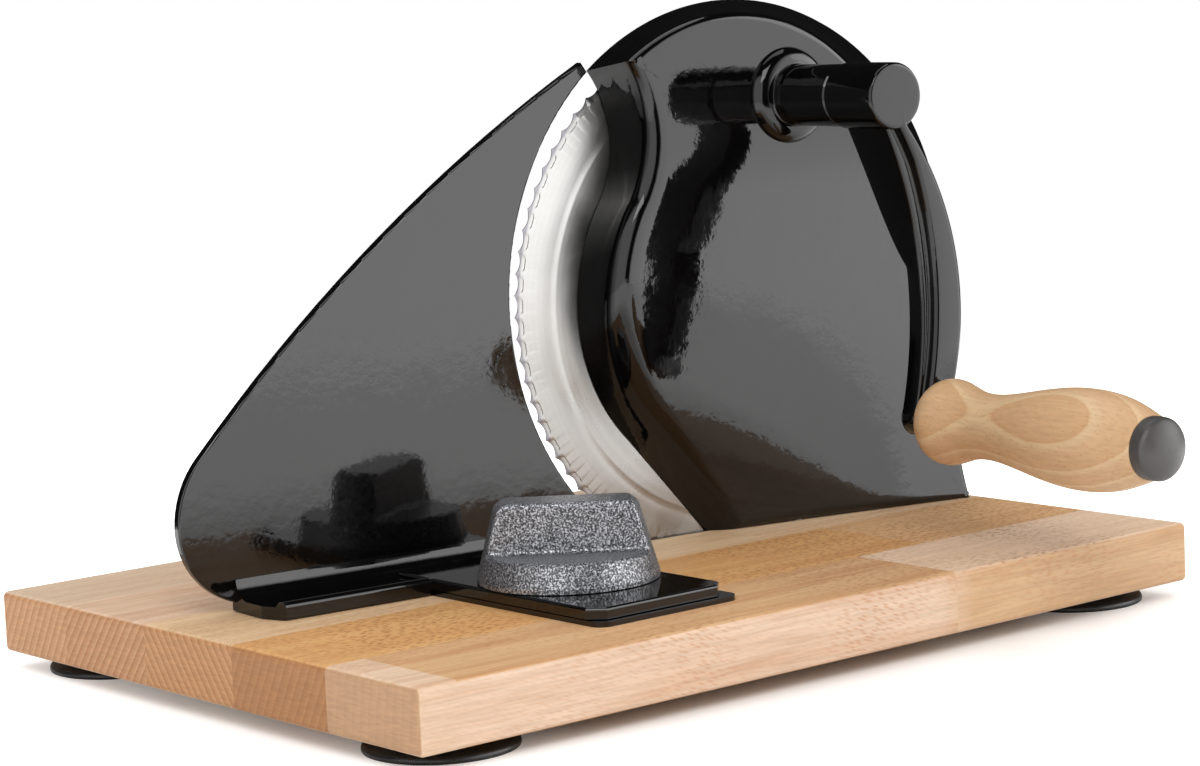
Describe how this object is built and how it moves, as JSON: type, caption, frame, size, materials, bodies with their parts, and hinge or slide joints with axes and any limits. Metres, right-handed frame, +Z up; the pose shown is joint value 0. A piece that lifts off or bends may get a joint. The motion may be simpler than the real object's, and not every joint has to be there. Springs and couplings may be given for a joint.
{
  "type": "bread slicer",
  "caption": "Hand-cranked bread slicer: serrated disc blade geared to a crank with a wooden grip, sliding thickness fence set by a knob, on a glued beech board with suction feet",
  "frame": {"origin": "centre of the bounding box in X and Y, on the surface the suction feet stand on", "axes": "+X along the board, from the fence end to the housing end; +Y away from the handle; +Z up"},
  "size_m": [0.3535, 0.3173, 0.2235],
  "materials": {
    "board_beech": "glued beech staves, sanded and oiled",
    "foot_rubber": "moulded, satin",
    "zinc_steel": "bright zinc plate",
    "enamel_cast": "glossy black stove enamel over a casting, slight orange peel",
    "enamel_fence": "glossy black stove enamel, slight orange peel",
    "blade_steel": "stainless, ground in rings",
    "gear_nylon": "moulded nylon",
    "gear_steel": "cut gear steel",
    "bush_brass": "turned",
    "lock_nickel": "nickel plated",
    "knob_hammered": "hammered black and silver enamel",
    "grip_beech": "turned beech, clear lacquer",
    "cap_plastic": "moulded, satin"
  },
  "bodies": {
    "stand": {"base_board": "board_beech", "suction_foot_1": "foot_rubber", "suction_foot_2": "foot_rubber", "suction_foot_3": "foot_rubber", "suction_foot_4": "foot_rubber", "foot_screw_1": "zinc_steel", "foot_screw_2": "zinc_steel", "foot_screw_3": "zinc_steel", "foot_screw_4": "zinc_steel", "gear_housing": "enamel_cast", "housing_screw_1": "zinc_steel", "housing_screw_2": "zinc_steel", "housing_screw_3": "zinc_steel", "blade_axle": "zinc_steel", "blade_lock_washer": "lock_nickel", "blade_lock_screw": "lock_nickel", "crank_bush": "bush_brass", "guide_plate": "enamel_fence", "guide_screw_1": "zinc_steel", "guide_screw_2": "zinc_steel", "guide_screw_3": "zinc_steel", "guide_screw_4": "zinc_steel", "pivot_sleeve": "bush_brass"},
    "cutter": {"blade": "blade_steel", "blade_gear": "gear_nylon", "blade_bush": "bush_brass", "blade_screw_1": "zinc_steel", "blade_screw_2": "zinc_steel", "blade_screw_3": "zinc_steel"},
    "crank": {"crank_shaft": "zinc_steel", "crank_gear": "gear_steel", "crank_gear_pin": "zinc_steel", "crank_arm": "enamel_cast", "crank_hub_pin": "zinc_steel", "handle_spindle": "zinc_steel", "handle_nut": "zinc_steel"},
    "grip": {"handle_grip": "grip_beech", "handle_end_cap": "cap_plastic"},
    "gauge": {"gauge_fence": "enamel_fence", "follower_pin": "zinc_steel", "slide_keeper": "zinc_steel", "keeper_screw_1": "zinc_steel", "keeper_screw_2": "zinc_steel"},
    "dial": {"thickness_knob": "knob_hammered", "knob_pivot": "zinc_steel", "pivot_washer": "zinc_steel", "pivot_spring_washer": "zinc_steel", "pivot_nut": "zinc_steel"}
  },
  "joints": [
    {"name": "crank_turn", "type": "hinge", "parent": "stand", "child": "crank", "pos_m": [0.07706, -0.04158, 0.18807], "axis": [-0.0785, -0.9969, 0], "continuous": true},
    {"name": "blade_spin", "type": "hinge", "parent": "stand", "child": "cutter", "pos_m": [0.07585, 0.04367, 0.115], "axis": [-0.0785, -0.9969, 0], "continuous": true},
    {"name": "grip_spin", "type": "hinge", "parent": "crank", "child": "grip", "pos_m": [0.09101, -0.04268, 0.07181], "axis": [-0.0785, -0.9969, 0], "continuous": true},
    {"name": "knob_turn", "type": "hinge", "parent": "stand", "child": "dial", "pos_m": [-0.05566, -0.01138, 0.0336], "axis": [0, 0, 1], "range_deg": [0, 300]},
    {"name": "gauge_slide", "type": "slide", "parent": "stand", "child": "gauge", "axis": [0, -1, 0], "range_m": [0, 0.015]}
  ],
  "couplings": [
    {"joint": "blade_spin", "follows": "crank_turn", "ratio": -0.53125},
    {"joint": "gauge_slide", "follows": "knob_turn", "m_per_rad": 0.0028647}
  ]
}
